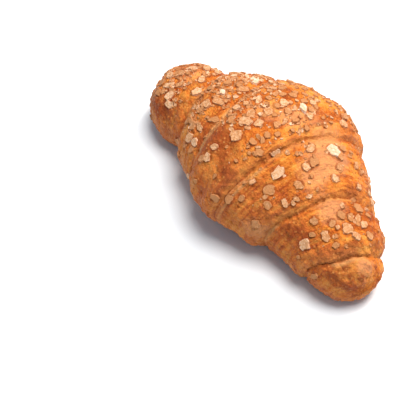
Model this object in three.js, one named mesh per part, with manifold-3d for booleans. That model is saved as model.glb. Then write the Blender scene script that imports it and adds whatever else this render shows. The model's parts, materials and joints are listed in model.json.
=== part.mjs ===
// A baked croissant with rolled oats on top, one solid piece of pastry, in millimetres.
// +X points to the near tip, +Y to the back, +Z up; it lies on its flat underside at z = 0.
import * as THREE from "three";
import Module from "manifold-3d";

const wasm = await Module();
wasm.setup();

// Driving dimensions, in millimetres and degrees

// Stations along the middle line of the croissant, from the far tip to the near tip.
const STATIONS = [
  { along: -85.7, halfWidth: 0, top: 13, under: 13 },
  { along: -83.9, halfWidth: 9, top: 23, under: 5 },
  { along: -74.7, halfWidth: 20.3, top: 35, under: -3 },
  { along: -64, halfWidth: 23.9, top: 38.5, under: -5 },
  { along: -52, halfWidth: 24.9, top: 42, under: -5 },
  { along: -40, halfWidth: 33.3, top: 47.5, under: -5 },
  { along: -26, halfWidth: 38.8, top: 52, under: -5 },
  { along: -12, halfWidth: 45.8, top: 55.5, under: -5 },
  { along: 2, halfWidth: 47.5, top: 56, under: -5 },
  { along: 16, halfWidth: 43.5, top: 52.5, under: -5 },
  { along: 30, halfWidth: 36.3, top: 47.5, under: -5 },
  { along: 44, halfWidth: 28.4, top: 42.5, under: -5 },
  { along: 56, halfWidth: 24.3, top: 37.5, under: -5 },
  { along: 68.5, halfWidth: 20.4, top: 33.5, under: -4 },
  { along: 78.1, halfWidth: 15.6, top: 28, under: 0 },
  { along: 82.9, halfWidth: 8.8, top: 21, under: 5 },
  { along: 84.5, halfWidth: 0, top: 13, under: 13 },
];
const FAR_END = STATIONS[0].along;
const NEAR_END = STATIONS[STATIONS.length - 1].along;
const WAIST = 0.42; // height of the widest line, as a share of the height
const FLAT_BELOW = 1; // the tray presses flat what would lie lower than this

// What puts the origin under the middle of the whole.
const MIDDLE_X = 0.4;
const MIDDLE_Y = -0.2;

// The middle line curves forward towards both tips.
const HALF_LENGTH = 84;
const FAR_SAG = 12;
const NEAR_SAG = 14.1;

// The edge of the rolled dough winds outwards from the middle on both halves.
const TUCK_ANGLE = 250; // where the edge slips under, 90 is straight up and 180 the front
// fadeIn: the turns after which the edge, smoothed away where it was tucked under, stands out fully.
const NEAR_WIND = {
  start: 0,
  pitch: 30,
  side: 1,
  turns: 3,
  fadeIn: 0.4,
  frontBow: 2.6,
  frontBowLess: 2.2,
  slowFrom: 2.36,
  slowing: 118,
  shoulder: 2.4,
};
const FAR_WIND = {
  start: -16.8,
  pitch: 24,
  side: -1,
  turns: 2,
  fadeIn: 0.28,
  frontBow: 0,
  frontBowLess: 0,
  slowFrom: 2,
  slowing: 0,
  shoulder: 0,
};
const BACK_BOW = 2.8; // how far the edges swing towards the near tip at the back
const SHOULDER_ANGLE = 122; // where the outer turns swing a little towards their tip
const SHOULDER_SPREAD = 25;
const WRAP_STEP = 1.9; // how far an overlapping wrap stands out at its edge
const LIP_LENGTH = 6.5; // the rounded edge of the wrap
const CREASE_DEPTH = 2.4; // the crease below the general surface
const UNDER_LENGTH = 8; // how far the next wrap rises out of the crease
const LUMP_HEIGHT = 0.7; // slow unevenness of the baked surface

// The mesh of the pastry: rows lie closer at the creases and at the tips.
const ROW_SPACING = 3.5;
const CREASE_ROWS = 2.0;
const CREASE_REACH = 3.4;
const TIP_ROWS = 2.6;
const TIP_REACH = 4;
const UPPER_COLUMNS = 34; // round the top and sides
const UNDER_COLUMNS = 7; // across the flat underside
const UNDER_FROM = 222;
const UNDER_TO = 318;

// Rolled oats: a thin, uneven disc each, pressed into the crust.
const FLAKE_THICKNESS = 1.6;
const FLAKE_SUNK = 0.75; // how much of the thickness lies in the crust
const FLAKE_RIM_POINTS = 6;
const FLAKE_RIM_UNEVEN = 0.2; // share of the radius
const FLAKE_TILT = 9; // most lean against the crust
const FLAKES_MOST = 110;

// The flakes that stand out, by eye: place along, angle round, length, width.
const CLEAR_FLAKES = [
  [-8.5, 115, 7.6, 6.8],
  [-11.5, 104.5, 7.8, 6.2],
  [21.5, 112.5, 8.0, 6.0],
  [25.5, 126.5, 6.4, 5.8],
  [25, 66, 8.4, 6.0],
  [20, 82, 6.4, 4.4],
  [27, 86, 5.8, 5.0],
  [27.5, 93, 5.2, 4.4],
  [33.5, 66, 4.6, 3.8],
  [38, 75, 5.2, 3.8],
  [33, 107, 6.0, 4.0],
  [12.5, 104, 5.4, 3.6],
  [-0.5, 68, 8.8, 3.8],
  [-7.5, 76, 6.0, 4.4],
  [-8, 89, 6.2, 4.4],
  [-5.5, 99, 5.6, 4.6],
  [-13, 98, 6.4, 4.0],
  [-22, 101, 4.6, 4.0],
  [1.5, 92, 5.0, 3.8],
  [6, 70, 5.2, 4.0],
  [-33, 63, 9.4, 5.0],
  [-38, 95, 4.0, 3.2],
  [-31, 80, 6.8, 4.4],
  [-17.5, 86, 6.8, 3.4],
  [-54, 104.5, 6.2, 5.2],
  [-67, 126.5, 6.6, 4.6],
  [-64, 135.5, 5.6, 4.8],
  [-71, 113, 7.0, 3.8],
  [-65.5, 105, 5.6, 3.8],
  [-71, 91, 7.6, 5.0],
  [-67.5, 77, 7.6, 5.2],
  [-62, 60, 7.0, 4.6],
  [-75, 98, 5.6, 4.2],
  [-57.5, 84, 5.6, 4.0],
  [-40, 112.5, 6.0, 5.4],
  [-35.5, 104.5, 8.4, 4.2],
  [-36, 145.5, 6.0, 5.0],
  [-30.5, 145.5, 5.0, 4.0],
  [-33.5, 131.5, 5.6, 3.8],
  [-38, 135, 4.6, 4.0],
  [-29.5, 119, 6.8, 3.4],
  [-13.5, 131, 4.6, 3.8],
  [-15.5, 144, 4.8, 3.6],
  [-13, 140, 4.8, 4.0],
  [13, 154, 5.2, 4.4],
  [31, 137, 5.0, 4.0],
  [32, 160, 5.4, 4.6],
  [57, 141, 6.4, 5.4],
  [61.5, 85.5, 6.6, 6.0],
  [60, 113, 6.0, 4.6],
  [66.5, 79, 5.0, 3.8],
  [67, 58, 5.2, 3.8],
  [53, 60, 6.4, 4.8],
  [58, 66, 5.0, 3.6],
  [61.5, 62, 4.8, 3.8],
  [56, 99, 4.6, 3.4],
  [-26, 184, 5.0, 3.6],
  [48, 22, 5.0, 3.4],
];

// The rest of the flakes, spread by a rule.
const SPREAD_TRIES = 900;
const SPREAD_SEED = 20417;
const SPREAD_LARGEST = 5.6;
const SPREAD_SMALLEST = 2.2;
const SPREAD_GAP = 0.8; // centre distance over the sum of the radii
const BARE_BESIDE_EDGE = 3; // the dough stays nearly bare this close to an edge
// How thickly each stretch is strewn over its crown, and where the strewing ends at the front.
const STREWN = [
  { upTo: -50, crown: 1, front: 140 },
  { upTo: -24, crown: 1, front: 145 },
  { upTo: 12, crown: 0.85, front: 132 },
  { upTo: 45, crown: 0.4, front: 140 },
  { upTo: 70, crown: 0.6, front: 125 },
  { upTo: 90, crown: 0.06, front: 110 },
];
const STREWN_BACK = 12; // angle where the strewing ends at the back
const STREWN_FADE = 22;

const radians = (degrees) => (degrees * Math.PI) / 180;
const clamp = (x, low, high) => Math.min(high, Math.max(low, x));
const smoothStep = (x) => x * x * (3 - 2 * x);

// One value of the stations at any place along the croissant, without overshoot between them.
function stationValue(along, key) {
  const last = STATIONS.length - 2;
  let i = 0;
  while (i < last && along > STATIONS[i + 1].along) i++;
  const slope = (k) =>
    (STATIONS[k + 1][key] - STATIONS[k][key]) / (STATIONS[k + 1].along - STATIONS[k].along);
  const tangent = (k) => {
    if (k === 0) return slope(0) * 1.6;
    if (k === last + 1) return slope(last) * 1.6;
    const before = slope(k - 1);
    const after = slope(k);
    return before * after > 0 ? (2 * before * after) / (before + after) : 0;
  };
  const gap = STATIONS[i + 1].along - STATIONS[i].along;
  const t = (along - STATIONS[i].along) / gap;
  return (
    (2 * t ** 3 - 3 * t ** 2 + 1) * STATIONS[i][key] +
    (t ** 3 - 2 * t ** 2 + t) * gap * tangent(i) +
    (3 * t ** 2 - 2 * t ** 3) * STATIONS[i + 1][key] +
    (t ** 3 - t ** 2) * gap * tangent(i + 1)
  );
}

// The middle line and its sideways direction.
function middleLine(along) {
  const sag = along < 0 ? FAR_SAG : NEAR_SAG;
  const slope = (-2 * sag * along) / HALF_LENGTH ** 2;
  const length = Math.hypot(1, slope);
  return { y: -sag * (along / HALF_LENGTH) ** 2, sideX: -slope / length, sideY: 1 / length };
}

// Every dough edge that crosses this angle: its place along the croissant, its strength and its side.
function doughEdges(angle) {
  const turn = ((((TUCK_ANGLE - angle) % 360) + 360) % 360) / 360;
  const across = Math.cos(radians(angle));
  const edges = [];
  for (const wind of [NEAR_WIND, FAR_WIND]) {
    for (let k = 0; k < wind.turns; k++) {
      const wound = k + turn;
      const bow = across > 0 ? BACK_BOW * across : -(wind.frontBow - wind.frontBowLess * wound) * across;
      const strength = clamp(wound / wind.fadeIn, 0, 1) * clamp((wind.turns - wound) / 0.25, 0, 1);
      if (strength > 0) {
        const slowed = wind.slowing * Math.max(wound - wind.slowFrom, 0) ** 2;
        const outer = Math.min(Math.max(2 * wound - 1, 0), 1);
        const swing = wind.shoulder * outer * Math.exp(-(((angle - SHOULDER_ANGLE) / SHOULDER_SPREAD) ** 2));
        const along = wind.start + wind.side * (wind.pitch * wound - slowed + swing) + bow;
        edges.push({ along, strength: smoothStep(strength), side: wind.side, pitch: wind.pitch });
      }
    }
  }
  return edges;
}

// How far the wraps stand out from the smooth spindle.
function wrapRelief(along, angle) {
  let relief = 0;
  for (const edge of doughEdges(angle)) {
    const beyond = (along - edge.along) * edge.side;
    if (beyond < 0) {
      const rise = smoothStep(clamp(1 + beyond / (edge.pitch * 0.9), 0, 1));
      const lip = clamp(-beyond / LIP_LENGTH, 0, 1);
      const round = 1 - Math.sqrt(1 - (1 - lip) ** 2);
      relief += edge.strength * (WRAP_STEP * rise - (WRAP_STEP + CREASE_DEPTH) * round);
    } else {
      relief -= edge.strength * CREASE_DEPTH * (1 - clamp(beyond / UNDER_LENGTH, 0, 1)) ** 2.2;
    }
  }
  return relief;
}

// Slow lumps of the baked dough.
function lumps(along, angle) {
  const a = radians(angle);
  return (
    LUMP_HEIGHT *
    (0.5 * Math.sin(along * 0.21 + 2 * a + 0.6) +
      0.4 * Math.sin(along * 0.34 - 3 * a + 2.1) +
      0.3 * Math.sin(along * 0.12 + 5 * a + 4.0))
  );
}

// A point of the outer surface.
function surfacePoint(along, angle) {
  const line = middleLine(along);
  const halfWidth = stationValue(along, "halfWidth");
  const top = stationValue(along, "top");
  const under = stationValue(along, "under");
  const waist = under > 0 ? under + WAIST * (top - under) : WAIST * top;
  const across = Math.cos(radians(angle));
  const upward = Math.sin(radians(angle));
  const outward = (wrapRelief(along, angle) + lumps(along, angle)) * clamp(halfWidth / 16, 0, 1);
  const side = (halfWidth + outward) * across;
  const radius = upward > 0 ? top - waist : waist - under;
  const height = waist + (radius + outward) * upward;
  const z = height < FLAT_BELOW ? 0 : height;
  return new THREE.Vector3(along + line.sideX * side + MIDDLE_X, line.y + line.sideY * side + MIDDLE_Y, z);
}

// The outward direction of the surface there.
function surfaceNormal(along, angle) {
  const alongStep = surfacePoint(along + 1, angle).sub(surfacePoint(along - 1, angle));
  const angleStep = surfacePoint(along, angle + 2).sub(surfacePoint(along, angle - 2));
  return angleStep.cross(alongStep).normalize();
}

// Where the rows of one column lie, from the far end to the near end, both ends included.
function rowPlaces(angle, rows) {
  const edges = doughEdges(angle);
  const steps = 700;
  const sums = [0];
  for (let i = 0; i < steps; i++) {
    const along = FAR_END + ((NEAR_END - FAR_END) * (i + 0.5)) / steps;
    let density = 1;
    for (const edge of edges) {
      density += CREASE_ROWS * edge.strength * Math.exp(-(((along - edge.along) / CREASE_REACH) ** 2));
    }
    density += TIP_ROWS * Math.exp(-(along - FAR_END) / TIP_REACH);
    density += TIP_ROWS * Math.exp(-(NEAR_END - along) / TIP_REACH);
    sums.push(sums[i] + density);
  }
  const places = [];
  let i = 0;
  for (let row = 0; row <= rows; row++) {
    const wanted = (sums[steps] * row) / rows;
    while (i < steps - 1 && sums[i + 1] < wanted) i++;
    const share = (wanted - sums[i]) / (sums[i + 1] - sums[i]);
    places.push(FAR_END + ((NEAR_END - FAR_END) * (i + share)) / steps);
  }
  return places;
}

// The angles of the columns, closely spaced over the top and sides and widely below.
function columnAngles() {
  const angles = [];
  for (let i = 0; i < UPPER_COLUMNS; i++) {
    angles.push(UNDER_TO - 360 + ((UNDER_FROM + 360 - UNDER_TO) * i) / UPPER_COLUMNS);
  }
  for (let i = 0; i < UNDER_COLUMNS; i++) {
    angles.push(UNDER_FROM + ((UNDER_TO - UNDER_FROM) * i) / UNDER_COLUMNS);
  }
  return angles;
}

// A closed solid from its points and its triangles.
function solidFrom(points, triangles) {
  const vertProperties = new Float32Array(points.flatMap((p) => [p.x, p.y, p.z]));
  return new wasm.Manifold(new wasm.Mesh({ numProp: 3, vertProperties, triVerts: new Uint32Array(triangles) }));
}

// The pastry: rings of points from tip to tip, closed by one point at each tip.
function pastrySolid() {
  const angles = columnAngles();
  const extraRows = (CREASE_ROWS * CREASE_REACH * Math.sqrt(Math.PI) * 4.7 + 2 * TIP_ROWS * TIP_REACH) / ROW_SPACING;
  const rows = Math.round((NEAR_END - FAR_END) / ROW_SPACING + extraRows);
  const columns = angles.map((angle) => rowPlaces(angle, rows));
  const points = [surfacePoint(FAR_END, 0)];
  for (let row = 1; row < rows; row++) {
    angles.forEach((angle, c) => points.push(surfacePoint(columns[c][row], angle)));
  }
  points.push(surfacePoint(NEAR_END, 0));
  const n = angles.length;
  const at = (row, c) => 1 + (row - 1) * n + (c % n);
  const triangles = [];
  for (let c = 0; c < n; c++) {
    triangles.push(0, at(1, c + 1), at(1, c));
    for (let row = 1; row < rows - 1; row++) {
      triangles.push(at(row, c), at(row + 1, c + 1), at(row + 1, c));
      triangles.push(at(row, c), at(row, c + 1), at(row + 1, c + 1));
    }
    triangles.push(at(rows - 1, c), at(rows - 1, c + 1), points.length - 1);
  }
  return solidFrom(points, triangles);
}

// A row of even random numbers from 0 to 1, the same on every run.
function randomRow(seed) {
  let state = seed;
  return () => {
    state = (Math.imul(state, 1664525) + 1013904223) >>> 0;
    return state / 4294967296;
  };
}

// How likely the spread is to leave a flake here, from 0 to 1.
function strewing(along, angle) {
  const stretch = STREWN.find((s) => along < s.upTo);
  const front = clamp((stretch.front - angle) / STREWN_FADE + 0.5, 0, 1);
  const back = clamp((angle - STREWN_BACK) / STREWN_FADE + 0.5, 0, 1);
  const bare = doughEdges(angle).some((e) => Math.abs(along - e.along) < BARE_BESIDE_EDGE * e.strength);
  const area = clamp(stationValue(along, "halfWidth") / 47, 0.2, 1);
  return stretch.crown * Math.max(front, 0.06) * back * area * (bare ? 0.15 : 1);
}

// All flakes: the clear ones, then the spread ones where they don't crowd an earlier one.
function layFlakes() {
  const random = randomRow(SPREAD_SEED);
  const flakes = [];
  const lay = (along, angle, length, width, spread) => {
    const centre = surfacePoint(along, angle);
    const radius = Math.sqrt(length * width) / 2;
    const turn = random() * 360;
    const tilt = FLAKE_TILT * random();
    const tiltTurn = random() * 360;
    const shape = Math.floor(random() * 4294967296);
    const crowded = flakes.some((f) => f.centre.distanceTo(centre) < SPREAD_GAP * (f.radius + radius));
    if (!spread || !crowded) flakes.push({ along, angle, centre, radius, length, width, turn, tilt, tiltTurn, shape });
  };
  for (const [along, angle, length, width] of CLEAR_FLAKES) lay(along, angle, length, width, false);
  for (let i = 1; i <= SPREAD_TRIES; i++) {
    const along = FAR_END + 5 + (NEAR_END - FAR_END - 10) * ((i * 0.7548776662) % 1);
    const angle = -10 + 205 * ((i * 0.569840291) % 1);
    const length = SPREAD_SMALLEST + (SPREAD_LARGEST - SPREAD_SMALLEST) * random() ** 1.3;
    const width = length * (0.55 + 0.35 * random());
    if (random() < strewing(along, angle)) lay(along, angle, length, width, true);
  }
  return flakes;
}

// One flake as a closed solid: a top and a bottom ring with a point in the middle of each.
function flakeSolid(flake) {
  const up = surfaceNormal(flake.along, flake.angle);
  const first = new THREE.Vector3(1, 0, 0).cross(up).normalize().applyAxisAngle(up, radians(flake.turn));
  const lean = first.clone().applyAxisAngle(up, radians(flake.tiltTurn));
  const tilted = up.clone().applyAxisAngle(lean, radians(flake.tilt));
  const lengthways = first.applyAxisAngle(lean, radians(flake.tilt));
  const widthways = tilted.clone().cross(lengthways);
  const random = randomRow(flake.shape);
  const at = (right, forward, height) =>
    flake.centre
      .clone()
      .addScaledVector(lengthways, right)
      .addScaledVector(widthways, forward)
      .addScaledVector(tilted, height);
  const thickness = FLAKE_THICKNESS * (0.8 + 0.4 * random());
  const topHeight = thickness - FLAKE_SUNK;
  const points = [at(0, 0, topHeight), at(0, 0, -FLAKE_SUNK - 0.4)];
  for (let i = 0; i < FLAKE_RIM_POINTS; i++) {
    const a = (2 * Math.PI * (i + 0.5 * random())) / FLAKE_RIM_POINTS;
    const reach = 0.5 * (1 + FLAKE_RIM_UNEVEN * (2 * random() - 1));
    const right = flake.length * reach * Math.cos(a);
    const forward = flake.width * reach * Math.sin(a);
    points.push(at(right * 0.92, forward * 0.92, topHeight * (0.75 + 0.35 * random())));
    points.push(at(right, forward, -FLAKE_SUNK - 0.4));
  }
  const triangles = [];
  for (let i = 0; i < FLAKE_RIM_POINTS; i++) {
    const top = 2 + 2 * i;
    const nextTop = 2 + 2 * ((i + 1) % FLAKE_RIM_POINTS);
    triangles.push(0, top, nextTop);
    triangles.push(1, nextTop + 1, top + 1);
    triangles.push(top, top + 1, nextTop + 1);
    triangles.push(top, nextTop + 1, nextTop);
  }
  return solidFrom(points, triangles);
}

const pastry = pastrySolid();
const flakes = layFlakes()
  .sort((a, b) => b.radius - a.radius)
  .slice(0, FLAKES_MOST);
let whole = pastry;
for (const flake of flakes) whole = whole.add(flakeSolid(flake));

// Scraps that don't touch the pastry and sealed hollows both fall away here.
const largest = whole.decompose().sort((a, b) => b.volume() - a.volume())[0];
console.log(
  `pastry ${pastry.numTri()} triangles, ${flakes.length} flakes, smallest ${flakes.at(-1).radius.toFixed(2)} mm radius,`,
  `whole ${largest.numTri()} triangles, ${(largest.volume() / 1000).toFixed(1)} cm3`,
);

// The geometry of a solid as three.js draws it.
function geometryOf(solid) {
  const mesh = solid.getMesh();
  const positions = new Float32Array(mesh.numVert * 3);
  for (let i = 0; i < mesh.numVert; i++) {
    positions.set(mesh.vertProperties.subarray(i * mesh.numProp, i * mesh.numProp + 3), i * 3);
  }
  const geometry = new THREE.BufferGeometry();
  geometry.setAttribute("position", new THREE.BufferAttribute(positions, 3));
  geometry.setIndex(new THREE.BufferAttribute(new Uint32Array(mesh.triVerts), 1));
  return geometry;
}

const croissant = new THREE.Mesh(geometryOf(largest), new THREE.MeshStandardMaterial({ color: "#c07a3e" }));
croissant.name = "croissant";
const part = new THREE.Group();
part.add(croissant);
export default part;
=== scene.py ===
# %% [markdown]
# # A croissant strewn with rolled oats
# The pastry is one rolled strip of dough, so one rule gives its whole shape: a spindle with a bent middle
# line, and the edge of the strip that winds outwards from the middle on both halves. The solid model
# follows the same rule, and this file repeats its sizes in millimetres, so that the crust drawn here lies
# on the solid.

import json
import math

import bmesh
import bpy
import numpy as np
from mathutils import Matrix, Vector

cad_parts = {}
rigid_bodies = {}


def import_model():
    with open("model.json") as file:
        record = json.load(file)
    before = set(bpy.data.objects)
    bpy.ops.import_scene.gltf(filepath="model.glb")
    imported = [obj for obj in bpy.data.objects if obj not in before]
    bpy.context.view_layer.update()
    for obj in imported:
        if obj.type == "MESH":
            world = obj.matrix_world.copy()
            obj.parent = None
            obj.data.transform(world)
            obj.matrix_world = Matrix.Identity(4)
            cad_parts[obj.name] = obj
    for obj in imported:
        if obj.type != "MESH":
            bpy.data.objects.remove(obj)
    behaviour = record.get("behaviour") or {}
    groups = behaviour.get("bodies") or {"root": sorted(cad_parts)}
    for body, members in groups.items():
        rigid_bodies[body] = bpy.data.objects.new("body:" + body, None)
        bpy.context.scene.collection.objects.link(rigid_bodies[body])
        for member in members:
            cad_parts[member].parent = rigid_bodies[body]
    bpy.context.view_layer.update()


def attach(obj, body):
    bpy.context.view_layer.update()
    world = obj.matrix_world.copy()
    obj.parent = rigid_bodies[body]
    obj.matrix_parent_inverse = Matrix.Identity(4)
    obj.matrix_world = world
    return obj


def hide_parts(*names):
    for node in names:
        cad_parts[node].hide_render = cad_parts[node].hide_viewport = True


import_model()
MM = 0.001

# %% [markdown]
# ## The view
# A short telephoto lens looks down at 55 degrees on the front right of the croissant, so the near tip lies
# at the lower right. The camera is placed from what it looks at, its two angles and its distance.

# %% Camera
AIM = Vector((-9.1, -36.3, 0)) * MM
AZIMUTH, ELEVATION, DISTANCE = 51.5, 55.0, 630 * MM
LENS, SENSOR_WIDTH, NEAREST = 100, 36, 10 * MM

azimuth, elevation = math.radians(AZIMUTH), math.radians(ELEVATION)
towards_camera = Vector(
    (math.sin(azimuth) * math.cos(elevation), -math.cos(azimuth) * math.cos(elevation), math.sin(elevation))
)
camera = bpy.data.objects.new("camera", bpy.data.cameras.new("camera"))
bpy.context.scene.collection.objects.link(camera)
camera.location = AIM + towards_camera * DISTANCE
camera.rotation_mode = "QUATERNION"
camera.rotation_quaternion = (-towards_camera).to_track_quat("-Z", "Y")
camera.data.lens = LENS
camera.data.sensor_width = SENSOR_WIDTH
camera.data.clip_start = NEAREST
bpy.context.scene.camera = camera
print("camera at, m:", [round(c, 3) for c in camera.location])

# %% [markdown]
# ## Helpers
# Colours are picked as sRGB hex values, as a paint program shows them, but a shader adds up light, so one
# function turns them to linear. Another adds a node with its settings and its links, for shaders and for
# Geometry Nodes. The rest name what is built from nodes again and again: sums and products, noise, a number
# kept on the mesh.

# %% Colour and nodes
def linear(hex_colour):
    """A colour such as "#f5a758" as linear red, green, blue and alpha."""
    channels = [int(hex_colour[i : i + 2], 16) / 255 for i in (1, 3, 5)]
    return (*(c / 12.92 if c <= 0.04045 else ((c + 0.055) / 1.055) ** 2.4 for c in channels), 1.0)


def add_node(tree, kind, inputs=None, **settings):
    """Adds a node; inputs maps a socket to a value or to the socket that feeds it."""
    node = tree.nodes.new(kind)
    for name, value in settings.items():
        setattr(node, name, value)
    for socket, value in (inputs or {}).items():
        if isinstance(value, bpy.types.NodeSocket):
            tree.links.new(value, node.inputs[socket])
        else:
            node.inputs[socket].default_value = value
    return node


def calculate(tree, operation, *values):
    """The result of a maths node; its values are numbers or sockets."""
    return add_node(tree, "ShaderNodeMath", dict(enumerate(values)), operation=operation).outputs[0]


def scaled(tree, vector, by):
    """A vector times one number, or times three."""
    if isinstance(by, tuple):
        return add_node(tree, "ShaderNodeVectorMath", {0: vector, 1: by}, operation="MULTIPLY").outputs[0]
    return add_node(tree, "ShaderNodeVectorMath", {0: vector, "Scale": by}, operation="SCALE").outputs[0]


MEAN_NOISE = 0.5


def noise(tree, vector, size, detail, roughness):
    """Cloudy noise from 0 to 1 whose largest clouds are so many mm across."""
    settings = {"Vector": vector, "Scale": 1 / size, "Detail": detail, "Roughness": roughness}
    return add_node(tree, "ShaderNodeTexNoise", settings).outputs["Fac"]


def kept(tree, name, kind="FLOAT"):
    """What a Geometry Nodes tree finds kept on the mesh under this name."""
    return add_node(tree, "GeometryNodeInputNamedAttribute", {"Name": name}, data_type=kind).outputs[0]


def set_stops(ramp, stops):
    """Gives a colour ramp its stops, each a position and a hex colour."""
    elements = ramp.color_ramp.elements
    while len(elements) < len(stops):
        elements.new(0.5)
    for element, (position, hex_colour) in zip(elements, stops):
        element.position = position
        element.color = linear(hex_colour)


def smooth(x):
    """A rise from 0 to 1, level at both ends."""
    x = np.clip(x, 0, 1)
    return x * x * (3 - 2 * x)


print("linear orange:", [round(c, 3) for c in linear("#f5a758")])

# %% [markdown]
# ## The shape of the pastry
# A croissant is cut as a long triangle of laminated dough and rolled up from its wide end. The middle has
# most turns and is fattest; each half shows the dough's edge as a helix of shallow terraces. Stations give
# the half width and the height along the middle line, and the rest is the rule of the two windings.

# %% Stations along the middle line, in mm: place, half width, top, underside
STATIONS = np.array(
    [
        (-85.7, 0, 13, 13),
        (-83.9, 9, 23, 5),
        (-74.7, 20.3, 35, -3),
        (-64, 23.9, 38.5, -5),
        (-52, 24.9, 42, -5),
        (-40, 33.3, 47.5, -5),
        (-26, 38.8, 52, -5),
        (-12, 45.8, 55.5, -5),
        (2, 47.5, 56, -5),
        (16, 43.5, 52.5, -5),
        (30, 36.3, 47.5, -5),
        (44, 28.4, 42.5, -5),
        (56, 24.3, 37.5, -5),
        (68.5, 20.4, 33.5, -4),
        (78.1, 15.6, 28, 0),
        (82.9, 8.8, 21, 5),
        (84.5, 0, 13, 13),
    ],
    float,
)
FAR_END, NEAR_END = STATIONS[0, 0], STATIONS[-1, 0]
WAIST = 0.42  # how high up the roll is widest, as a share of its height
FLAT_BELOW = 1.0  # the tray presses flat what would lie lower
TIP_STEEPNESS = 1.6  # how much steeper a tip begins than its first gap
HALF_LENGTH, FAR_SAG, NEAR_SAG = 84.0, 12.0, 14.1
MIDDLE = np.array((0.4, -0.2))


def station(along, column):
    """A column of the stations at any place, without overshoot between them."""
    xs, ys = STATIONS[:, 0], STATIONS[:, column]
    gaps = np.diff(xs)
    slopes = np.diff(ys) / gaps
    total = slopes[:-1] + slopes[1:]
    tangents = np.zeros_like(ys)
    rising = slopes[:-1] * slopes[1:] > 0
    tangents[1:-1][rising] = (2 * slopes[:-1] * slopes[1:])[rising] / total[rising]
    tangents[0], tangents[-1] = slopes[0] * TIP_STEEPNESS, slopes[-1] * TIP_STEEPNESS
    i = np.clip(np.searchsorted(xs, along, side="left") - 1, 0, len(gaps) - 1)
    t = (along - xs[i]) / gaps[i]
    return (
        (2 * t**3 - 3 * t**2 + 1) * ys[i]
        + (t**3 - 2 * t**2 + t) * gaps[i] * tangents[i]
        + (3 * t**2 - 2 * t**3) * ys[i + 1]
        + (t**3 - t**2) * gaps[i] * tangents[i + 1]
    )


print("fattest half width, mm:", float(station(np.array(0.0), 1).round(1)))

# %% The edge of the dough, wound outwards on both halves
TUCK_ANGLE = 250.0  # where the edge slips under; 90 is straight up, 180 the front
BACK_BOW = 2.8
SHOULDER_ANGLE, SHOULDER_SPREAD = 122.0, 25.0  # where the outer turns swing a little towards their tip
FADE_OUT = 0.25  # the share of the last turn in which the edge runs out
# fade_in: the turns after which the edge, smoothed away where it was tucked under, stands out fully.
NEAR_WIND = dict(start=0.0, pitch=30.0, side=1, turns=3, fade_in=0.4)
NEAR_WIND |= dict(front_bow=2.6, bow_less=2.2, slow_from=2.36, slowing=118.0, shoulder=2.4)
FAR_WIND = dict(start=-16.8, pitch=24.0, side=-1, turns=2, fade_in=0.28)
FAR_WIND |= dict(front_bow=0.0, bow_less=0.0, slow_from=2.0, slowing=0.0, shoulder=0.0)


def dough_edges(angle):
    """Each edge that crosses this angle: its place, its strength, its side and its pitch."""
    turn = np.mod(TUCK_ANGLE - angle, 360.0) / 360.0
    across = np.cos(np.radians(angle))
    for wind in (NEAR_WIND, FAR_WIND):
        for k in range(wind["turns"]):
            wound = k + turn
            front_bow = wind["front_bow"] - wind["bow_less"] * wound
            bow = np.where(across > 0, BACK_BOW * across, -front_bow * across)
            strength = np.clip(wound / wind["fade_in"], 0, 1)
            strength = strength * np.clip((wind["turns"] - wound) / FADE_OUT, 0, 1)
            slowed = wind["slowing"] * np.maximum(wound - wind["slow_from"], 0) ** 2
            near_shoulder = np.exp(-(((angle - SHOULDER_ANGLE) / SHOULDER_SPREAD) ** 2))
            swing = wind["shoulder"] * np.clip(2 * wound - 1, 0, 1) * near_shoulder
            place = wind["start"] + wind["side"] * (wind["pitch"] * wound - slowed + swing) + bow
            yield place, smooth(strength), wind["side"], wind["pitch"]


print("edges over the crown, mm:", [round(float(e[0]), 1) for e in dough_edges(np.array(90.0))])

# %% The relief of the wraps and the slow lumps of the bake
WRAP_STEP, LIP_LENGTH, CREASE_DEPTH, UNDER_LENGTH = 1.9, 6.5, 2.4, 8.0
RISE_SHARE = 0.9  # the share of a turn over which a wrap rises to its lip
UNDER_CURVE = 2.2  # how sharply the wrap below falls into the crease
LUMP_HEIGHT = 0.7
LUMPS = ((0.5, 0.21, 2, 0.6), (0.4, 0.34, -3, 2.1), (0.3, 0.12, 5, 4.0))  # share, waves along, round, start
THIN_END = 16.0  # half width below which the relief fades towards the tips


def wrap_relief(along, angle):
    """How far the rolled edges lift or sink the crust, in mm: a rounded lip, and a crease under it."""
    relief = 0.0
    for place, strength, side, pitch in dough_edges(angle):
        beyond = (along - place) * side
        rise = smooth(1 + beyond / (pitch * RISE_SHARE))
        lip = np.clip(-beyond / LIP_LENGTH, 0, 1)
        rounded = 1 - np.sqrt(np.clip(1 - (1 - lip) ** 2, 0, 1))
        over = WRAP_STEP * rise - (WRAP_STEP + CREASE_DEPTH) * rounded
        under = -CREASE_DEPTH * (1 - np.clip(beyond / UNDER_LENGTH, 0, 1)) ** UNDER_CURVE
        relief = relief + strength * np.where(beyond < 0, over, under)
    return relief


def lumps(along, angle):
    """Slow swellings of the bake, in mm."""
    turn = np.radians(angle)
    return LUMP_HEIGHT * sum(
        share * np.sin(along * waves_along + waves_round * turn + start)
        for share, waves_along, waves_round, start in LUMPS
    )


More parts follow.
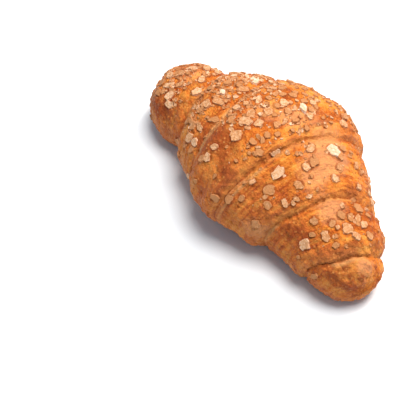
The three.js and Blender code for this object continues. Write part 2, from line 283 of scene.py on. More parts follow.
def surface(along, angle):
    """A point of the crust in mm, from its place along the middle line and its angle round it."""
    along, angle = np.broadcast_arrays(np.asarray(along, float), np.asarray(angle, float))
    sag = np.where(along < 0, FAR_SAG, NEAR_SAG)
    slope = -2 * sag * along / HALF_LENGTH**2
    length = np.hypot(1, slope)
    half_width, top, under = (station(along, c) for c in (1, 2, 3))
    waist = np.where(under > 0, under + WAIST * (top - under), WAIST * top)
    across, upward = np.cos(np.radians(angle)), np.sin(np.radians(angle))
    outward = (wrap_relief(along, angle) + lumps(along, angle)) * np.clip(half_width / THIN_END, 0, 1)
    side = (half_width + outward) * across
    height = waist + (np.where(upward > 0, top - waist, waist - under) + outward) * upward
    z = np.where(height < FLAT_BELOW, 0, height)
    x = along - slope / length * side + MIDDLE[0]
    y = -sag * (along / HALF_LENGTH) ** 2 + side / length + MIDDLE[1]
    return np.stack([x, y, z], -1)


def surface_normal(along, angle):
    """The way that the crust faces, from points 2 mm and 4 degrees apart."""
    ahead = surface(along + 1, angle) - surface(along - 1, angle)
    round_it = surface(along, angle + 2) - surface(along, angle - 2)
    normal = np.cross(ahead, round_it)
    return normal / np.linalg.norm(normal, axis=-1, keepdims=True)


print("highest point of the crown, mm:", round(float(surface(np.linspace(-20, 20, 81), 90.0)[:, 2].max()), 1))

# %% [markdown]
# ## The crust as a fine net
# A net of rows and columns wrapped round the spindle keeps its vertices in step with the rule, which a
# remesh would not. Rows crowd together at the dough's edges, where the form turns sharply, and at the tips.
# Each vertex also keeps what a baker would see there: how far it is from a dough edge, how brown it baked,
# how thickly it is strewn.

# %% Rows and columns
ROWS, UPPER_COLUMNS, UNDER_COLUMNS = 310, 280, 24
UNDER_FROM, UNDER_TO = 222.0, 318.0
CROWDING_AT_EDGES, EDGE_REACH = 1.1, 3.4
CROWDING_AT_TIPS, TIP_REACH = 2.6, 4
FINE_STEPS = 1400

column_angles = np.concatenate(
    [
        np.linspace(UNDER_TO - 360, UNDER_FROM, UPPER_COLUMNS, endpoint=False),
        np.linspace(UNDER_FROM, UNDER_TO, UNDER_COLUMNS, endpoint=False),
    ]
)
steps = (np.arange(FINE_STEPS) + 0.5) / FINE_STEPS
fine_along = FAR_END + (NEAR_END - FAR_END) * steps
row_places = np.zeros((ROWS + 1, len(column_angles)))
for c, angle in enumerate(column_angles):
    density = np.ones_like(fine_along)
    for place, strength, _, _ in dough_edges(np.array(angle)):
        density += CROWDING_AT_EDGES * strength * np.exp(-(((fine_along - place) / EDGE_REACH) ** 2))
    for from_tip in (fine_along - FAR_END, NEAR_END - fine_along):
        density += CROWDING_AT_TIPS * np.exp(-from_tip / TIP_REACH)
    total = np.concatenate([[0], np.cumsum(density)])
    row_places[:, c] = np.interp(
        total[-1] * np.arange(ROWS + 1) / ROWS, total, np.linspace(FAR_END, NEAR_END, len(total))
    )
print("rows", ROWS, "columns", len(column_angles), "triangles", 2 * (ROWS - 1) * len(column_angles))

# %% The net as a mesh
inner_along = row_places[1:-1]
inner_angle = np.broadcast_to(column_angles, inner_along.shape)
tips = surface(np.array([FAR_END, NEAR_END]), 0.0)
points = np.concatenate([surface(inner_along, inner_angle).reshape(-1, 3), tips]) * MM
n = len(column_angles)
faces = []
for row in range(ROWS - 2):
    a = row * n
    faces += [(a + c, a + (c + 1) % n, a + n + (c + 1) % n, a + n + c) for c in range(n)]
far_tip, near_tip = len(points) - 2, len(points) - 1
faces += [(far_tip, (c + 1) % n, c) for c in range(n)]
last = (ROWS - 2) * n
faces += [(near_tip, last + c, last + (c + 1) % n) for c in range(n)]

crust_mesh = bpy.data.meshes.new("crust")
crust_mesh.from_pydata(points.tolist(), [], faces)
crust = bpy.data.objects.new("crust", crust_mesh)
bpy.context.scene.collection.objects.link(crust)
check = bmesh.new()
check.from_mesh(crust_mesh)
bmesh.ops.recalc_face_normals(check, faces=check.faces)
print("crust net volume, cm3:", round(check.calc_volume(signed=True) * 1e6, 1))
check.to_mesh(crust_mesh)
check.free()
crust_mesh.shade_smooth()

# %% [markdown]
# ## Where the oats lie
# The egg wash pools and browns between the oats, and the crust is painted in shade round them, so their
# places come before the crust's colours. They follow the solid's own rule: the flakes that stand out are
# listed one by one, and the rest are spread by one row of random numbers where the crust is strewn, unless
# one would crowd another.

# %% How thickly the crust is strewn
STREWN_UP_TO = np.array([-50, -24, 12, 45, 70, 90])
STREWN_CROWN = np.array([1.0, 1.0, 0.85, 0.4, 0.6, 0.06])
STREWN_FRONT = np.array([140, 145, 132, 140, 125, 110])
STREWN_BACK, STREWN_FADE, BARE_BESIDE_EDGE = 12, 22, 3
UNDERSIDE_FROM, STRAY_ON_FRONT, STRAY_ON_BARE = 200, 0.06, 0.15
WIDE_ROLL, LEAST_ON_THIN = 47, 0.2


def strewing(along, angle):
    """How thickly the oats lie, from 0 to 1."""
    stretch = np.searchsorted(STREWN_UP_TO, along, side="right")
    front = np.clip((STREWN_FRONT[stretch] - angle) / STREWN_FADE + 0.5, 0, 1)
    back = np.clip((angle - STREWN_BACK) / STREWN_FADE + 0.5, 0, 1) * (angle < UNDERSIDE_FROM)
    bare = np.zeros(np.shape(along), bool)
    for place, strength, _, _ in dough_edges(angle):
        bare |= np.abs(along - place) < BARE_BESIDE_EDGE * strength
    area = np.clip(station(along, 1) / WIDE_ROLL, LEAST_ON_THIN, 1)
    crown = STREWN_CROWN[stretch] * np.maximum(front, STRAY_ON_FRONT)
    return crown * back * area * np.where(bare, STRAY_ON_BARE, 1)


print("strewn on the crown at 0 mm:", round(float(strewing(np.array(0.0), np.array(95.0))), 2))

# %% Where the flakes lie: the clear ones listed (place along, angle, length, width), then a spread
CLEAR_FLAKES = [
    (-8.5, 115, 7.6, 6.8),
    (-11.5, 104.5, 7.8, 6.2),
    (21.5, 112.5, 8.0, 6.0),
    (25.5, 126.5, 6.4, 5.8),
    (25, 66, 8.4, 6.0),
    (20, 82, 6.4, 4.4),
    (27, 86, 5.8, 5.0),
    (27.5, 93, 5.2, 4.4),
    (33.5, 66, 4.6, 3.8),
    (38, 75, 5.2, 3.8),
    (33, 107, 6.0, 4.0),
    (12.5, 104, 5.4, 3.6),
    (-0.5, 68, 8.8, 3.8),
    (-7.5, 76, 6.0, 4.4),
    (-8, 89, 6.2, 4.4),
    (-5.5, 99, 5.6, 4.6),
    (-13, 98, 6.4, 4.0),
    (-22, 101, 4.6, 4.0),
    (1.5, 92, 5.0, 3.8),
    (6, 70, 5.2, 4.0),
    (-33, 63, 9.4, 5.0),
    (-38, 95, 4.0, 3.2),
    (-31, 80, 6.8, 4.4),
    (-17.5, 86, 6.8, 3.4),
    (-54, 104.5, 6.2, 5.2),
    (-67, 126.5, 6.6, 4.6),
    (-64, 135.5, 5.6, 4.8),
    (-71, 113, 7.0, 3.8),
    (-65.5, 105, 5.6, 3.8),
    (-71, 91, 7.6, 5.0),
    (-67.5, 77, 7.6, 5.2),
    (-62, 60, 7.0, 4.6),
    (-75, 98, 5.6, 4.2),
    (-57.5, 84, 5.6, 4.0),
    (-40, 112.5, 6.0, 5.4),
    (-35.5, 104.5, 8.4, 4.2),
    (-36, 145.5, 6.0, 5.0),
    (-30.5, 145.5, 5.0, 4.0),
    (-33.5, 131.5, 5.6, 3.8),
    (-38, 135, 4.6, 4.0),
    (-29.5, 119, 6.8, 3.4),
    (-13.5, 131, 4.6, 3.8),
    (-15.5, 144, 4.8, 3.6),
    (-13, 140, 4.8, 4.0),
    (13, 154, 5.2, 4.4),
    (31, 137, 5.0, 4.0),
    (32, 160, 5.4, 4.6),
    (57, 141, 6.4, 5.4),
    (61.5, 85.5, 6.6, 6.0),
    (60, 113, 6.0, 4.6),
    (66.5, 79, 5.0, 3.8),
    (67, 58, 5.2, 3.8),
    (53, 60, 6.4, 4.8),
    (58, 66, 5.0, 3.6),
    (61.5, 62, 4.8, 3.8),
    (56, 99, 4.6, 3.4),
    (-26, 184, 5.0, 3.6),
    (48, 22, 5.0, 3.4),
]
FLAKE_THICKNESS, FLAKE_SUNK, FLAKE_TILT = 1.6, 0.75, 9
SPREAD_TRIES, SPREAD_SEED, SPREAD_GAP = 900, 20417, 0.8
SPREAD_SMALLEST, SPREAD_LARGEST, MOSTLY_SMALL = 2.2, 5.6, 1.3
SLIMMEST, ROUNDER_BY = 0.55, 0.35
CLEAR_OF_TIPS, LOWEST_AT_BACK, SPREAD_ROUND = 5, -10, 205
STEP_ALONG, STEP_ROUND = 0.7548776662, 0.569840291  # shares that spread places evenly, without rows

MULTIPLIER, INCREMENT, LARGEST = 1664525, 1013904223, 2**32  # of the row of random numbers


def random_row(seed):
    """Even random numbers from 0 to 1, the same row as the solid's."""
    state = seed
    while True:
        state = (state * MULTIPLIER + INCREMENT) % LARGEST
        yield state / LARGEST


def lay_flakes():
    """All flakes with their places and turns, in the order in which the random row is used up."""
    random = random_row(SPREAD_SEED)
    flakes = []

    def lay(along, angle, length, width, spread):
        centre = surface(along, angle)
        radius = math.sqrt(length * width) / 2
        turn, tilt, tilt_turn = next(random) * 360, FLAKE_TILT * next(random), next(random) * 360
        shape = int(next(random) * LARGEST)
        crowded = any(
            np.linalg.norm(f["centre"] - centre) < SPREAD_GAP * (f["radius"] + radius) for f in flakes
        )
        if not spread or not crowded:
            flakes.append(
                dict(along=along, angle=angle, centre=centre, radius=radius, length=length, width=width)
                | dict(turn=turn, tilt=tilt, tilt_turn=tilt_turn, shape=shape, spread=spread)
            )

    for clear in CLEAR_FLAKES:
        lay(*clear, False)
    for i in range(1, SPREAD_TRIES + 1):
        along = FAR_END + CLEAR_OF_TIPS + (NEAR_END - FAR_END - 2 * CLEAR_OF_TIPS) * ((i * STEP_ALONG) % 1)
        angle = LOWEST_AT_BACK + SPREAD_ROUND * ((i * STEP_ROUND) % 1)
        length = SPREAD_SMALLEST + (SPREAD_LARGEST - SPREAD_SMALLEST) * next(random) ** MOSTLY_SMALL
        width = length * (SLIMMEST + ROUNDER_BY * next(random))
        if next(random) < float(strewing(np.array(along), np.array(angle))):
            lay(along, angle, length, width, True)
    return flakes


flakes = lay_flakes()
first_spread = flakes[len(CLEAR_FLAKES)]
print("flakes:", len(flakes))
print("first spread flake at:", round(first_spread["along"], 2), round(first_spread["angle"], 2))

# %% [markdown]
# ## What a baker sees on the crust
# Egg wash runs into the hollows and browns there, the laminated edge of the dough stays pale, and the oats
# keep the crust under them light. Light and shade are painted in too: painted shade in the creases, round
# each flake and on the front, thin painted shadows in the gaps at the edges, and painted highlights on the
# lips and on the lit right side. These are kept as numbers on the vertices: how near an edge of dough is,
# on its upper and on its lower side, where pale layers of the lamination show, and where the crust is
# toasted, or floury or painted with sheen.

# %% Marks of the bake: place along, angle, reach along in mm, reach round in degrees, strength
TOASTED = [
    (-70, 150, 17, 16, 0.75),
    (-57, 125, 5, 10, 0.5),
    (-1, 132, 6, 10, 0.5),
    (-24, 133, 9, 16, 0.8),
    (-42, 106, 10, 14, 0.35),
    (-58, 100, 5, 16, 0.35),
    (-14, 126, 9, 13, 0.8),
    (30, 107, 7, 12, 0.5),
    (80, 140, 4, 20, 0.5),
    (6, 140, 9, 9, 0.6),
    (20, 112, 5, 18, 0.35),
    (47, 146, 5, 14, 0.7),
    (54, 138, 5, 10, 0.5),
    (70, 90, 3, 18, 0.9),
    (71, 47, 3, 16, 0.8),
    (75.5, 139, 4, 14, 0.7),
    (76.5, 113, 2.2, 9, 0.9),
    (80.5, 112, 1.6, 8, 0.7),
    (83, 130, 2, 24, 0.5),
    (60, 118, 5, 16, 0.45),
    (-12, 112, 6, 10, 0.35),
    (-3, 118, 6, 8, 0.35),
    (82, 88, 1.2, 12, 1.0),
    (-88, 120, 8, 40, 0.35),
    (-49, 112, 6, 12, 0.4),
    (-56, 86, 6, 12, 0.3),
]
# Pale patches: floury crust, and on the lit right side a painted sheen where the light falls.
FLOURY_AND_SHEEN = [
    (28, 78, 10, 24, 0.8),
    (36, 96, 8, 14, 0.5),
    (51, 92, 7, 20, 1.0),
    (28, 66, 9, 16, 0.6),
    (4, 74, 8, 14, 0.7),
    (17, 62, 7, 16, 0.6),
    (79, 74, 5, 24, 0.8),
    (-66, 84, 12, 22, 0.6),
    (-12, 96, 8, 12, 0.5),
    (33, 168, 8, 16, 0.7),
    (-4, 84, 10, 12, 0.5),
    (-66, 175, 16, 14, 0.4),
    (-36, 178, 8, 14, 0.4),
    (66, 170, 10, 20, 0.3),
]
LINE_FADE = 12  # degrees over which a line ends
# Pale strips of lamination, and thin painted shadows in the gaps: near half or not, winding, from angle,
# to angle, distance from the edge in mm, width in mm, strength
PALE_STRIPS = [
    (False, 0, 100, 178, 0.6, 1.0, 0.8),
    (False, 0, 100, 150, -2.4, 0.7, 0.45),
    (True, 0, 118, 196, 3.4, 0.9, 0.75),
    (True, 0, 128, 180, 1.2, 0.6, 0.5),
    (True, 0, 60, 112, 1.6, 1.6, 0.35),
    (True, 1, 150, 192, 1.2, 0.8, 0.8),
    (True, 2, 70, 130, 1.6, 1.2, 0.6),
    (True, 1, 60, 110, 1.4, 1.0, 0.35),
    (False, 1, 90, 140, 0.8, 0.9, 0.35),
]
# Thin painted shadows in the gaps beside the edges.
PAINTED_SHADOW_LINES = [
    (True, 0, 84, 132, 0.1, 0.8, 0.6),
    (True, 1, 60, 135, 0.0, 0.6, 0.75),
    (True, 2, 60, 150, 0.0, 0.6, 0.9),
    (False, 0, 112, 165, -0.9, 0.4, 0.6),
    (False, 1, 90, 150, 0.0, 0.6, 0.6),
]
# Where broken oats lie thickest
THICKEST = [
    (-72, 95, 14, 34, 1.0),
    (-46, 88, 10, 30, 0.7),
    (-33, 75, 9, 25, 0.8),
    (-20, 90, 10, 24, 0.6),
    (-44, 128, 8, 14, 0.6),
    (64, 92, 9, 26, 0.6),
]

along_all = np.concatenate([inner_along.ravel(), [FAR_END, NEAR_END]])
angle_all = np.concatenate([np.mod(inner_angle.ravel() + 90, 360) - 90, [90, 90]])


def patches(marks, along, angle):
    """Soft-edged patches of the crust from their places, added up to at most one."""
    total = np.zeros(np.shape(along))
    for place, place_angle, reach, round_reach, strength in marks:
        distance = ((along - place) / reach) ** 2 + ((angle - place_angle) / round_reach) ** 2
        total += strength * np.exp(-(distance**1.5))
    return np.clip(total, 0, 1)


def lines(marks):
    """Thin lines that keep their distance from an edge of the dough."""
    total = np.zeros_like(along_all)
    all_edges = list(dough_edges(angle_all))
    for near, winding, start, end, offset, width, strength in marks:
        place, edge_strength, side, _ = all_edges[winding if near else NEAR_WIND["turns"] + winding]
        beyond = (along_all - place) * side
        fade = smooth((angle_all - start) / LINE_FADE + 0.5) * smooth((end - angle_all) / LINE_FADE + 0.5)
        total += strength * edge_strength * fade * np.exp(-(((beyond - offset) / width) ** 2))
    return np.clip(total, 0, 1)


# Bare crust browns most, so the toasted spots hold only the flakes that are listed one by one.
BARE_FROM = 0.3
flakes = [f for f in flakes if not f["spread"] or patches(TOASTED, f["along"], f["angle"]) < BARE_FROM]
print("flakes left:", len(flakes))

# %% Nearness of the edges and the direction of the dough
OVER_REACH, UNDER_REACH, WASH_AND_SHADE_RING = 3.0, 1.8, 0.8
LOW_UP_TO, LOW_FADE = 17, 12
CRUMBS_UP_TO, THINLY, THICKLY = 150, 0.3, 1.9

# Nearness of each edge: the lip over it is painted lighter, as pale dough and a painted highlight, and the
# crease under it darker, as egg wash and painted shade.
over_edge, under_edge = np.zeros_like(along_all), np.zeros_like(along_all)
for place, strength, side, _ in dough_edges(angle_all):
    beyond = (along_all - place) * side
    over_edge += strength * np.where(beyond < 0, np.exp(beyond / OVER_REACH), 0)
    under_edge += strength * np.where(beyond >= 0, np.exp(-beyond / UNDER_REACH), 0)

# The crust is painted darker in a narrow ring round each flake: egg wash pools there, and it is painted
# shade.
crust_points = surface(along_all, angle_all)
beside_flake = np.zeros_like(along_all)
for flake in flakes:
    gap = np.linalg.norm(crust_points - flake["centre"], axis=-1) - flake["radius"]
    beside_flake = np.maximum(beside_flake, np.exp(-((np.maximum(gap, 0) / WASH_AND_SHADE_RING) ** 2)))
low_flank = smooth((LOW_UP_TO - crust_points[:, 2]) / LOW_FADE)
crumbed = strewing(along_all, angle_all) * (angle_all < CRUMBS_UP_TO)
crumbed *= THINLY + THICKLY * patches(THICKEST, along_all, angle_all)
crumbed *= 1 - patches(TOASTED, along_all, angle_all)

# Painted shade: the front, which faces the camera and turns away from the lamps, is painted redder and
# darker; on the near tip that begins higher up.
FRONT_FROM, FRONT_FADE, FRONT_TO = 100, 40, 230
TIP_FROM, TIP_FADE, HIGHER_BY = 62, 10, 35
higher = HIGHER_BY * smooth((along_all - TIP_FROM) / TIP_FADE)
front = smooth((angle_all - FRONT_FROM + higher) / FRONT_FADE) * (angle_all < FRONT_TO)

# Stretched dough runs with the edges, so the streaks follow a place that is measured from them.
every_edge = list(dough_edges(angle_all))
near_first, far_first = every_edge[0][0], every_edge[NEAR_WIND["turns"]][0]
near_slant, far_slant = near_first - NEAR_WIND["start"], far_first - FAR_WIND["start"]
between = smooth((along_all - far_first) / (near_first - far_first))
with_dough = along_all - (far_slant + (near_slant - far_slant) * between)
ROLL_RADIUS = 30.0
turned = np.radians(angle_all)
roll = np.stack([with_dough, ROLL_RADIUS * np.cos(turned), ROLL_RADIUS * np.sin(turned)], -1)


def keep_on(mesh, name, values):
    """Keeps a number or a vector on each vertex of a mesh."""
    kind, field = ("FLOAT", "value") if values.ndim == 1 else ("FLOAT_VECTOR", "vector")
    mesh.attributes.new(name, kind, "POINT").data.foreach_set(field, values.astype(np.float32).ravel())


for name, values in {
    "roll": roll,
    "over_edge": np.clip(over_edge, 0, 1),
    "under_edge": np.clip(under_edge, 0, 1),
    "toasted": patches(TOASTED, along_all, angle_all),
    "floury": patches(FLOURY_AND_SHEEN, along_all, angle_all),
    "pale_strip": lines(PALE_STRIPS),
    "dark_line": lines(PAINTED_SHADOW_LINES),
    "crumbed": crumbed,
    "beside_flake": beside_flake,
    "front": front,
    "low_flank": low_flank,
}.items():
    keep_on(crust_mesh, name, values)
    print(name, round(float(values.mean()), 3))

# %% [markdown]
# ## Materials
# Baked croissant crust is dry laminated dough under a thin egg wash: brown from sugars and protein, a
# little glossy, never even. So its colour is layered the way it forms: golden dough, browning in slow
# patches and along the stretched dough, toasted spots, bran flecks of the wholegrain flour, and pale
# lamination at the edges. Light and shade are painted over it: painted shade on the front, in the creases
# and round each flake, thin painted shadows in the gaps at the edges, and painted highlights on the lips
# and, with the floury patches, on the lit right side.

# %% Crust material
def start_material(name):
    """A new material with its node tree and its shader."""
    material = bpy.data.materials.new(name)
    material.use_nodes = True
    return material, material.node_tree, material.node_tree.nodes["Principled BSDF"]


crust_material, tree, shader = start_material("egg washed wholegrain crust")
place = add_node(tree, "ShaderNodeTexCoord").outputs["Object"]
in_mm = scaled(tree, place, 1 / MM)
MARKS = ("roll", "over_edge", "under_edge", "toasted", "floury", "pale_strip", "dark_line", "beside_flake")
MARKS += ("front", "low_flank")
marks = {name: add_node(tree, "ShaderNodeAttribute", attribute_name=name).outputs for name in MARKS}
# Slow patches of browning some 14 mm across, and streaks that follow the dough, 2 mm apart.
STREAKS_PER_MM = (0.5, 0.07, 0.07)  # along the roll and round it
patchy = noise(tree, in_mm, size=14, detail=3.0, roughness=0.6)
along_streaks = scaled(tree, marks["roll"]["Vector"], STREAKS_PER_MM)
streaky = noise(tree, along_streaks, size=1.0, detail=3.0, roughness=0.6)
mottled = noise(tree, in_mm, size=2.2, detail=3.0, roughness=0.65)
grainy = noise(tree, in_mm, size=0.9, detail=2.0, roughness=0.6)
browning = patchy
for finer, weight in ((streaky, 0.9), (mottled, 0.25), (grainy, 0.5)):
    browning = calculate(tree, "MULTIPLY_ADD", finer, weight, browning)
BROWNEST = 1.87  # the sum that falls on the far end of the ramp
ramp = add_node(tree, "ShaderNodeValToRGB", {"Fac": calculate(tree, "DIVIDE", browning, BROWNEST)})
set_stops(ramp, [(0.56, "#f4a548"), (0.66, "#e4862f"), (0.74, "#cc681e"), (0.84, "#9a4013")])

# Bran flecks 0.5 mm wide, one to every 2 mm or so of crust, some of them dark and some golden.
FLECK_GAP = 1.9
flecks = add_node(tree, "ShaderNodeTexVoronoi", {"Vector": in_mm, "Scale": 1 / FLECK_GAP, "Randomness": 1.0})
fleck_kind = add_node(tree, "ShaderNodeSeparateColor", {"Color": flecks.outputs["Color"]})


def some_flecks(channel, rare_from, rare_to, rim, middle):
    """One kind of fleck: chosen by a random channel of its cell, and solid from its rim to its middle."""
    chosen = {"Value": fleck_kind.outputs[channel], "From Min": rare_from, "From Max": rare_to}
    near = {"Value": flecks.outputs["Distance"], "From Min": rim, "From Max": middle}
    both = (add_node(tree, "ShaderNodeMapRange", held).outputs[0] for held in (near, chosen))
    return calculate(tree, "MULTIPLY", *both)


dark_flecks = some_flecks("Red", rare_from=0.62, rare_to=0.8, rim=0.24, middle=0.12)
golden_flecks = some_flecks("Green", rare_from=0.55, rare_to=0.75, rim=0.4, middle=0.15)
RAGGED_FROM, RAGGED_FADE = 0.25, 0.55  # what a mark needs to begin to show, and how much more to show fully


def broken_up(amount, contrast):
    """A mark of the bake, or of painted light and shade, with a ragged outline: the mark and the mottling
    must add up past a threshold.
    """
    sum_of_both = calculate(tree, "MULTIPLY_ADD", mottled, contrast, amount)
    threshold = RAGGED_FROM + MEAN_NOISE * contrast
    ragged = {"Value": sum_of_both, "From Min": threshold, "From Max": threshold + RAGGED_FADE}
    return add_node(tree, "ShaderNodeMapRange", ragged).outputs[0]


# From the lowest layer up: where it shows, how much of it, and its colour.
layers = [
    # Painted shade: the front, turned away from the lamps, redder and darker.
    (marks["front"]["Fac"], 0.35, "#b45c36"),
    (marks["low_flank"]["Fac"], 0.35, "#c8774a"),
    # Floury patches, and a painted sheen on the lit right side.
    (broken_up(marks["floury"]["Fac"], 0.9), 0.5, "#e8a878"),
    # Painted shade, and pooled egg wash, in a ring round each flake.
    (broken_up(marks["beside_flake"]["Fac"], 0.6), 0.6, "#94461a"),
    (broken_up(marks["toasted"]["Fac"], 0.6), 0.75, "#8e3a12"),
    # Pale dough on the lip of each edge, with a painted highlight where the light falls on it.
    (marks["over_edge"]["Fac"], 0.35, "#ec9f5a"),
    # Egg wash browned in the crease under each edge, with painted shade there.
    (marks["under_edge"]["Fac"], 0.35, "#a04c18"),
    (marks["pale_strip"]["Fac"], 0.8, "#e2b074"),
    # Thin painted shadows in the gaps at the edges.
    (marks["dark_line"]["Fac"], 0.55, "#6a2e10"),
    (dark_flecks, 0.6, "#70321a"),
    (golden_flecks, 0.45, "#f6aa5c"),
]
colour = ramp.outputs["Color"]
for factor, amount, hex_colour in layers:
    share = calculate(tree, "MULTIPLY", factor, amount)
    mixed = add_node(tree, "ShaderNodeMix", {0: share, 6: colour, 7: linear(hex_colour)}, data_type="RGBA")
    colour = mixed.outputs[2]
tree.links.new(colour, shader.inputs["Base Color"])

# Egg wash dries to a thin skin: satin, duller in spots. Fine blisters and cracks as bump.
GLOSSIEST, DULLEST, CRUST_IOR, SHEEN = 0.34, 0.62, 1.45, 0.2
BLISTERS, STREAK_SHARE = 1.3 * MM, 0.8
gloss = add_node(tree, "ShaderNodeMapRange", {"Value": mottled, "To Min": GLOSSIEST, "To Max": DULLEST})
tree.links.new(gloss.outputs[0], shader.inputs["Roughness"])
shader.inputs["IOR"].default_value = CRUST_IOR
shader.inputs["Specular IOR Level"].default_value = SHEEN
fine = noise(tree, in_mm, size=1.2, detail=4.0, roughness=0.65)
fine_and_streaks = calculate(tree, "MULTIPLY_ADD", streaky, STREAK_SHARE, fine)
bump = add_node(tree, "ShaderNodeBump", {"Height": fine_and_streaks, "Strength": 1.0, "Distance": BLISTERS})
tree.links.new(bump.outputs[0], shader.inputs["Normal"])
print("crust nodes:", len(tree.nodes))

# %% Oat material
# Rolled oats are steamed and pressed flat: matt, floury, pale on the broken faces and tan where the oven
# caught them. Their sides are painted darker too, as tan and as painted shade.
GRAIN_SIZE, GRAIN_SHARE, RIM_SHARE, GRAIN_DEPTH = 1.3, 1.2, 0.35, 1.2 * MM
OAT_ROUGHNESS, OAT_IOR = 0.8, 1.45
oat_material, tree, shader = start_material("toasted rolled oats")
place = add_node(tree, "ShaderNodeTexCoord").outputs["Object"]
in_mm = scaled(tree, place, 1 / MM)
tone = add_node(tree, "ShaderNodeAttribute", attribute_name="tone").outputs["Fac"]
grain = noise(tree, in_mm, size=GRAIN_SIZE, detail=4.0, roughness=0.75)
# The side of each flake is painted darker: tan, and painted shade.
side = add_node(tree, "ShaderNodeAttribute", attribute_name="side").outputs["Fac"]
baked = tone
for added, weight in ((grain, GRAIN_SHARE), (side, RIM_SHARE)):
    baked = calculate(tree, "MULTIPLY_ADD", added, weight, baked)
ramp = add_node(tree, "ShaderNodeValToRGB", {"Fac": baked})
set_stops(ramp, [(0.34, "#fdf0ee"), (0.56, "#f7d4b3"), (0.8, "#eab385"), (1.0, "#cc8852")])
tree.links.new(ramp.outputs["Color"], shader.inputs["Base Color"])
shader.inputs["Roughness"].default_value = OAT_ROUGHNESS
shader.inputs["IOR"].default_value = OAT_IOR
bump = add_node(tree, "ShaderNodeBump", {"Height": grain, "Strength": 1.0, "Distance": GRAIN_DEPTH})
tree.links.new(bump.outputs[0], shader.inputs["Normal"])
print("oat nodes:", len(tree.nodes))

# %% [markdown]
# ## Relief of the crust
# Wrinkles, blisters and pits are too many to place by hand, and a plain bump would leave the outline
# smooth. A small Geometry Nodes tree moves the vertices of the net along their normals by a few tenths of a
# millimetre instead.

# %% Running a tree on a mesh
def start_tree(name, sizes):
    """A Geometry Nodes tree with a mesh and named sizes as its inputs, and its two end nodes."""
    tree = bpy.data.node_groups.new(name, "GeometryNodeTree")
    tree.interface.new_socket("Geometry", in_out="INPUT", socket_type="NodeSocketGeometry")
    for label in sizes:
        tree.interface.new_socket(label, in_out="INPUT", socket_type="NodeSocketFloat")
    tree.interface.new_socket("Geometry", in_out="OUTPUT", socket_type="NodeSocketGeometry")
    return tree, add_node(tree, "NodeGroupInput"), add_node(tree, "NodeGroupOutput")


def finish_tree(tree, geometry, material, end):
    """Makes the mesh real, gives it its material and sends it out."""
    real = add_node(tree, "GeometryNodeRealizeInstances", {"Geometry": geometry})
    dressed = add_node(tree, "GeometryNodeSetMaterial", {"Geometry": real.outputs[0], "Material": material})
    tree.links.new(dressed.outputs[0], end.inputs[0])


def grow(piece, tree, sizes):
    """Runs a tree on the piece's mesh and keeps the result as its plain mesh."""
    modifier = piece.modifiers.new(tree.name, "NODES")
    modifier.node_group = tree
    for item in tree.interface.items_tree:
        if item.in_out == "INPUT" and item.name in sizes:
            modifier[item.identifier] = sizes[item.name]
    grown = bpy.data.meshes.new_from_object(piece.evaluated_get(bpy.context.evaluated_depsgraph_get()))
    piece.modifiers.clear()
    grown.name = piece.name
    piece.data = grown
    print(piece.name, len(grown.vertices), "vertices", len(grown.polygons), "faces")


RELIEF = {"Wrinkle": 1.9 * MM, "Swelling": 2.0 * MM, "Blister": 2.0 * MM, "Pit": 0.9 * MM, "Layer": 1.6 * MM}
print("relief, mm:", {name: round(size / MM, 1) for name, size in RELIEF.items()})

# %% The relief tree
SWELLING_SIZE, BLISTER_SIZE, RELIEF_FROM = 9, 2.6, 3 * MM
PIT_GAP, PIT_RIM, PIT_FLOOR = 6, 0.16, 0.06
# Along the roll and round it
WRINKLES_PER_MM, LAYERS_PER_MM = (0.42, 0.09, 0.09), (1.1, 0.05, 0.05)

tree, sizes, end = start_tree("crust relief", RELIEF)
place = add_node(tree, "GeometryNodeInputPosition").outputs[0]
in_mm = scaled(tree, place, 1 / MM)
roll_place = kept(tree, "roll", "FLOAT_VECTOR")
height = 0.0
for name, where, size, detail in (
    ("Wrinkle", scaled(tree, roll_place, WRINKLES_PER_MM), 1.0, 2.0),
    ("Swelling", in_mm, SWELLING_SIZE, 1.0),
    ("Blister", in_mm, BLISTER_SIZE, 1.0),
):
    centred = calculate(tree, "SUBTRACT", noise(tree, where, size, detail, roughness=0.5), MEAN_NOISE)
    height = calculate(tree, "MULTIPLY_ADD", centred, sizes.outputs[name], height)

# Pits: burst bubbles some 1.2 mm across, one to every 6 mm.
cells = add_node(tree, "ShaderNodeTexVoronoi", {"Vector": in_mm, "Scale": 1 / PIT_GAP})
in_pit = {"Value": cells.outputs["Distance"], "From Min": PIT_RIM, "From Max": PIT_FLOOR}
pit = add_node(tree, "ShaderNodeMapRange", in_pit).outputs[0]
height = calculate(tree, "SUBTRACT", height, calculate(tree, "MULTIPLY", pit, sizes.outputs["Pit"]))

# Thin layers of the lamination show as ridges beside an edge.
layered = noise(tree, scaled(tree, roll_place, LAYERS_PER_MM), size=1.0, detail=1.0, roughness=0.5)
centred = calculate(tree, "SUBTRACT", layered, MEAN_NOISE)
ridge = calculate(tree, "MULTIPLY", centred, kept(tree, "over_edge"))
height = calculate(tree, "MULTIPLY_ADD", ridge, sizes.outputs["Layer"], height)

# Near the tray the crust keeps the smooth form of the rule.
normal = add_node(tree, "GeometryNodeInputNormal").outputs[0]
parts = add_node(tree, "ShaderNodeSeparateXYZ", {0: place})
off_tray = add_node(tree, "ShaderNodeMapRange", {"Value": parts.outputs["Z"], "From Max": RELIEF_FROM})
offset = scaled(tree, normal, calculate(tree, "MULTIPLY", height, off_tray.outputs[0]))
shaped = add_node(tree, "GeometryNodeSetPosition", {"Geometry": sizes.outputs["Geometry"], "Offset": offset})
finish_tree(tree, shaped.outputs[0], crust_material, end)
grow(crust, tree, RELIEF)

# %% [markdown]
# ## The oat flakes
# Each rolled oat is one grain pressed to a thin oval with a cracked rim. The flakes lie by the solid's own
# rule, so they cover the ones that it holds, apart from a few on toasted spots that are left out here. Each
# is one of a few shapes, turned and sized to fit: Geometry Nodes set them on points that carry each flake's
# turn, size and tone.

